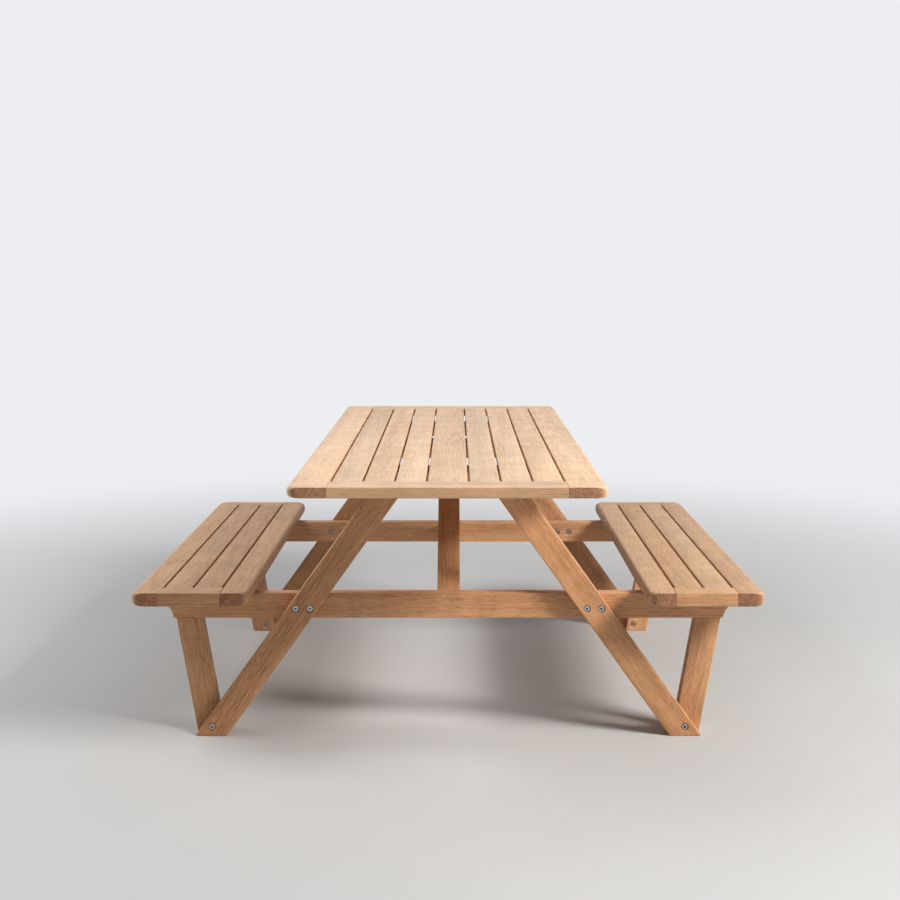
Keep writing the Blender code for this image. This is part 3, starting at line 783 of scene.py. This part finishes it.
def weighed(tree, start, *terms):
    """The sum of a value and of others, each of them times its weight."""
    for value, weight in terms:
        start = maths(tree, "ADD", start, maths(tree, "MULTIPLY", value, weight))
    return start


def opaque(colour):
    return (*colour, 1.0)


def new_material(name):
    """A new material with its node tree and its shader."""
    made = bpy.data.materials.new(name)
    made.use_nodes = True
    return made, made.node_tree, made.node_tree.nodes["Principled BSDF"]


def relief(tree, shader, height, strength, depth):
    bump = node_of(tree, "Bump", {"Height": height, "Strength": strength, "Distance": depth})
    tree.links.new(bump.outputs[0], shader.inputs["Normal"])


def teak(name, look, grain, chance):
    """Bare sanded teak: growth rings around a pith outside the board, fibres, pores, end grain.

    The grain is the turn that brings the board's own axes to X along it and Z through it.
    """
    made, tree, shader = new_material(name)

    def lean():
        return (0, *(math.radians(chance.uniform(-PITH_LEAN, PITH_LEAN)) for _ in range(2)))

    at = node_of(tree, "TexCoord")
    board_place = node_of(tree, "Mapping", {"Vector": at.outputs["Object"],
                                            "Rotation": grain}).outputs[0]
    board_facing = node_of(tree, "Mapping", {"Vector": at.outputs["Normal"], "Rotation": grain},
                           vector_type="VECTOR").outputs[0]
    place = node_of(tree, "Mapping", {
        "Vector": board_place,
        "Location": [chance.uniform(-FIGURE_SHIFT, FIGURE_SHIFT) for _ in range(3)],
        "Rotation": lean(),
    }).outputs[0]
    local = node_of(tree, "Mapping", {"Vector": board_place, "Rotation": lean()}).outputs[0]
    facing = node_of(tree, "SeparateXYZ", {0: board_facing}).outputs
    steep = [maths(tree, "ABSOLUTE", facing[index]) for index in range(3)]

    # Rings: distance from a wandering pith line
    angle = chance.uniform(0, math.tau)
    reach = chance.uniform(*PITH_REACH)
    pith = (0, reach * math.cos(angle), reach * math.sin(angle))
    bent = local
    for push in (WANDER, RIPPLE):
        bent = vectors(tree, "ADD", bent, swayed(tree, place, **push))
    across = vectors(tree, "MULTIPLY", vectors(tree, "SUBTRACT", bent, pith), (0, 1, 1))
    turns = maths(tree, "DIVIDE", length(tree, across), chance.uniform(*RING_WIDTH))
    phase = maths(tree, "FRACT", turns)
    year = node_of(tree, "TexWhiteNoise", {"W": maths(tree, "FLOOR", turns)},
                   noise_dimensions="1D").outputs["Value"]
    late = node_of(tree, "ValToRGB", {0: phase})
    stops = late.color_ramp.elements
    for stop, (position, value) in zip(stops, (LATE_GROWTH[0], LATE_GROWTH[-1])):
        stop.position, stop.color = position, opaque((value,) * 3)
    for position, value in LATE_GROWTH[1:-1]:
        stops.new(position).color = opaque((value,) * 3)
    every, extra = YEAR_DEPTH
    ring = maths(tree, "MULTIPLY", late.outputs[0], weighed(tree, every, (year, extra)))

    # Figure along the grain, from broad bands of colour to single fibres
    bands = ranged(tree, noise(tree, place, **BANDS), *NOISE_SPAN)
    streaks = noise(tree, place, **STREAKS)
    fibres = noise(tree, place, **FIBRES)
    cell = node_of(tree, "TexVoronoi", {"Vector": vectors(tree, "MULTIPLY", place, PORES),
                                        "Scale": 1.0}).outputs["Distance"]
    pores = maths(tree, "MULTIPLY", ranged(tree, cell, *PORE_SIZE),
                  ranged(tree, phase, *PORE_SEASON, FEWEST_PORES))
    amount = weighed(tree, maths(tree, "MULTIPLY", ring, RING_DEPTH), (bands, BAND_DEPTH),
                     (maths(tree, "SUBTRACT", streaks, 0.5), look["streaks"]),
                     (maths(tree, "SUBTRACT", fibres, 0.5), look["fibres"]), (pores, look["pores"]))
    amount = maths(tree, "ADD", amount, chance.uniform(*BOARD_DEPTH), clamp=True)
    bare = mixed(tree, amount, opaque(look["pale"]), opaque(look["dark"]))
    # Upper faces get a paler copy of the colours: partly sun bleaching, partly painted light from above
    bleached_and_lit = mixed(tree, amount, opaque(look["top"]), opaque(look["top_dark"]))
    upper = maths(tree, "MULTIPLY", ranged(tree, facing[2], *FACES_UP), look["bleach_and_top_light"])
    colour = mixed(tree, upper, bare, bleached_and_lit)

    # End grain soaks up more and is darker; arrises are made a little paler, partly as wear and partly
    # as a painted highlight
    end = ranged(tree, steep[0], *FACES_END)
    open_grain = weighed(tree, noise(tree, place, **RAYS), (ring, END_GRAIN_RINGS))
    end_tone = ranged(tree, open_grain, *END_GRAIN_SPAN, *END_GRAIN_TONE, "LINEAR")
    soaked = scaled(tree, vectors(tree, "MULTIPLY", bare, END_GRAIN_TINT), end_tone)
    colour = mixed(tree, end, colour, soaked)
    flattest = maths(tree, "MAXIMUM", maths(tree, "MAXIMUM", steep[0], steep[1]), steep[2])
    # Arrises are mixed towards the paler top colour: part wear, part painted highlight
    arris = maths(tree, "MULTIPLY", ranged(tree, flattest, *FACES_NO_WAY), ARRIS_WEAR_AND_HIGHLIGHT)
    worn_and_lit_arris = maths(tree, "MULTIPLY", arris, maths(tree, "SUBTRACT", 1.0, end))
    colour = mixed(tree, worn_and_lit_arris, colour, opaque(look["top"]))

    # Each board's own tone
    mottle = ranged(tree, noise(tree, place, **MOTTLE), *NOISE_SPAN, *MOTTLE_TONE, "LINEAR")
    tone = chance.uniform(*BOARD_TONE)
    warmth = chance.uniform(-BOARD_WARMTH, BOARD_WARMTH)
    tinted = vectors(tree, "MULTIPLY", colour, (tone * (1 + warmth), tone, tone * (1 - warmth)))
    tree.links.new(scaled(tree, tinted, mottle), shader.inputs["Base Color"])

    rough = ranged(tree, weighed(tree, fibres, (ring, -0.3)), 0.2, 0.8, *WOOD_ROUGHNESS, "LINEAR")
    tree.links.new(weighed(tree, rough, (end, END_GRAIN_ROUGHER)), shader.inputs["Roughness"])
    height = weighed(tree, maths(tree, "MULTIPLY", fibres, 0.5), (streaks, 0.6), (pores, -0.8),
                     (ring, -0.35))
    relief(tree, shader, height, WOOD_RELIEF_STRENGTH, WOOD_RELIEF)
    shader.inputs["IOR"].default_value = WOOD_IOR
    shader.inputs["Specular IOR Level"].default_value = WOOD_SPECULAR
    return made


def turned_steel(name, across, socket=None):
    """Satin stainless steel with turning marks, and painted shade in a socket of that radius.

    The way across is 1 for the two axes across the one that it was turned about.
    """
    made, tree, shader = new_material(name)
    at = node_of(tree, "TexCoord").outputs["Object"]
    radius = length(tree, vectors(tree, "MULTIPLY", at, across))
    marks = node_of(tree, "TexNoise", {"W": maths(tree, "MULTIPLY", radius, TURNING_MARKS),
                                       "Scale": 1.0, "Detail": 2.0},
                    noise_dimensions="1D").outputs["Fac"]
    stain = node_of(tree, "TexNoise", {"Vector": at, "Scale": STAIN_SCALE,
                                       "Detail": 3.0}).outputs["Fac"]
    colour = mixed(tree, ranged(tree, stain, 0.35, 0.7), opaque(STEEL), opaque(STEEL_STAIN))
    # A socket's inside is darkened with painted shade, which thins out towards its rim; clean is the
    # share outside it
    if socket:
        clean = ranged(tree, radius, *(share * socket for share in SOCKET_SHADE_EDGE))
        colour = mixed(tree, clean, opaque(SOCKET_PAINTED_SHADE), colour)
    tree.links.new(colour, shader.inputs["Base Color"])
    tree.links.new(weighed(tree, STEEL_ROUGHNESS, (marks, MARKS_ROUGHNESS)),
                   shader.inputs["Roughness"])
    relief(tree, shader, marks, STEEL_RELIEF_STRENGTH, STEEL_RELIEF)
    shader.inputs["Metallic"].default_value = 1.0
    return made


BOLT_STEEL = turned_steel("bolt_steel", (1, 0, 1), SOCKET_RADIUS)
SCREW_STEEL = turned_steel("screw_steel", (1, 1, 0))


# The whole table


def table():
    panel("top", TOP_EDGE_RADIUS, TABLETOP_WOOD)
    for side in ("left", "right"):
        name = f"bench_{side}"
        panel(name, BENCH_EDGE_RADIUS, BENCH_WOOD)
        columns = [middle_x(f"{name}_slat_{place}") for place in ("inner", "outer")]
        plain_board(f"{name}_batten", screw_columns=columns)
    for end in ("front", "back"):
        beam(f"cross_beam_{end}")
        brace(f"brace_{end}", f"cross_beam_{end}")
        heads = bolts_of(f"head_bolt_{end}")
        plain_board(f"top_cleat_{end}", heads)
        for place in ("inner", "outer"):
            node = f"top_batten_{end}_{place}"
            low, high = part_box(node)
            lapped_board(node, [(low.y + high.y) / 2], heads)
        for side in ("left", "right"):
            leg(f"leg_{end}_{side}")
            strut(f"foot_strut_{end}_{side}", f"cross_beam_{end}")
    low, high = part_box("top_centre_board")
    inset = (high.y - low.y) * SCREW_ROW_INSET
    lapped_board("top_centre_board", [low.y + inset, high.y - inset])
    for node in bolts_of("crossing_bolt_", "foot_bolt_", "head_bolt_"):
        bolt(node)


# Stage, light and camera


def floor():
    """A wide pale floor with a faint unevenness of tone, which melts into the white walls far out."""
    low, high = -FLOOR_HALF, FLOOR_HALF
    mesh = to_mesh(block((low, low, FLOOR_UNDERSIDE), (high, high, FLOOR_TOP)), "floor")
    made, tree, shader = new_material("floor")
    at = node_of(tree, "TexCoord").outputs["Object"]
    clouds = node_of(tree, "TexNoise", {"Vector": at, "Scale": FLOOR_CLOUDS,
                                        "Detail": 4.0}).outputs["Fac"]
    reach = length(tree, vectors(tree, "MULTIPLY", at, (1, 1, 0)))
    far_out = ranged(tree, reach, *FLOOR_FADE)
    colour = mixed(tree, clouds, *(opaque(tone) for tone in FLOOR_COLOURS))
    tree.links.new(mixed(tree, far_out, colour, opaque((0.0,) * 3)), shader.inputs["Base Color"])
    shader.inputs["Emission Color"].default_value = opaque(WALL_COLOUR)
    tree.links.new(maths(tree, "MULTIPLY", far_out, WALL_LIGHT), shader.inputs["Emission Strength"])
    shader.inputs["Roughness"].default_value = FLOOR_ROUGHNESS
    shader.inputs["Specular IOR Level"].default_value = 0.0
    mesh.materials.append(made)
    ground = bpy.data.objects.new("floor", mesh)
    bpy.context.scene.collection.objects.link(ground)


def lamp(name, data, direction):
    """A light that shines from a direction, given as a vector towards it."""
    made = bpy.data.objects.new(name, data)
    bpy.context.scene.collection.objects.link(made)
    made.rotation_euler = Vector(direction).to_track_quat("Z", "Y").to_euler()
    return made


def soft_box(name, direction, distance, size, power, colour):
    """A square light panel that faces the middle of the table."""
    data = bpy.data.lights.new(name, "AREA")
    data.size = size
    data.energy = power
    data.color = colour
    made = lamp(name, data, direction)
    made.location = Vector(TABLE_MIDDLE) + Vector(direction).normalized() * distance


def studio():
    """Soft light from the right, the left and above, in a white room that is dimmer on the left."""
    soft_box("key", **KEY_LIGHT)
    soft_box("fill", **FILL_LIGHT)
    above = bpy.data.lights.new("overhead", "SUN")
    above.angle = OVERHEAD_SPREAD
    above.energy = OVERHEAD_LIGHT
    lamp("overhead", above, OVERHEAD_DIRECTION)
    world = bpy.data.worlds.new("studio")
    bpy.context.scene.world = world
    world.use_nodes = True
    tree = world.node_tree
    background = tree.nodes["Background"]
    background.inputs["Color"].default_value = opaque(WALL_COLOUR)
    facing = node_of(tree, "TexCoord").outputs["Generated"]
    side = node_of(tree, "VectorMath", {0: facing, 1: Vector(BRIGHT_SIDE).normalized()},
                   operation="DOT_PRODUCT").outputs["Value"]
    given = ranged(tree, side, -1.0, 1.0, *ROOM_LIGHT, "LINEAR")
    rays = node_of(tree, "LightPath").outputs
    shown = maths(tree, "MAXIMUM", rays["Is Camera Ray"], rays["Is Glossy Ray"])
    strength = node_of(tree, "Mix", {0: shown, 2: given, 3: WALL_LIGHT}, data_type="FLOAT").outputs[0]
    tree.links.new(strength, background.inputs["Strength"])


def camera():
    data = bpy.data.cameras.new("camera")
    data.lens = CAMERA_LENS
    data.shift_x, data.shift_y = CAMERA_SHIFT
    view = bpy.data.objects.new("camera", data)
    bpy.context.scene.collection.objects.link(view)
    view.location = CAMERA_PLACE
    view.rotation_euler = (math.pi / 2 - CAMERA_PITCH, 0, 0)
    bpy.context.scene.camera = view


table()
floor()
studio()
camera()
bpy.context.scene.view_settings.view_transform = "Standard"
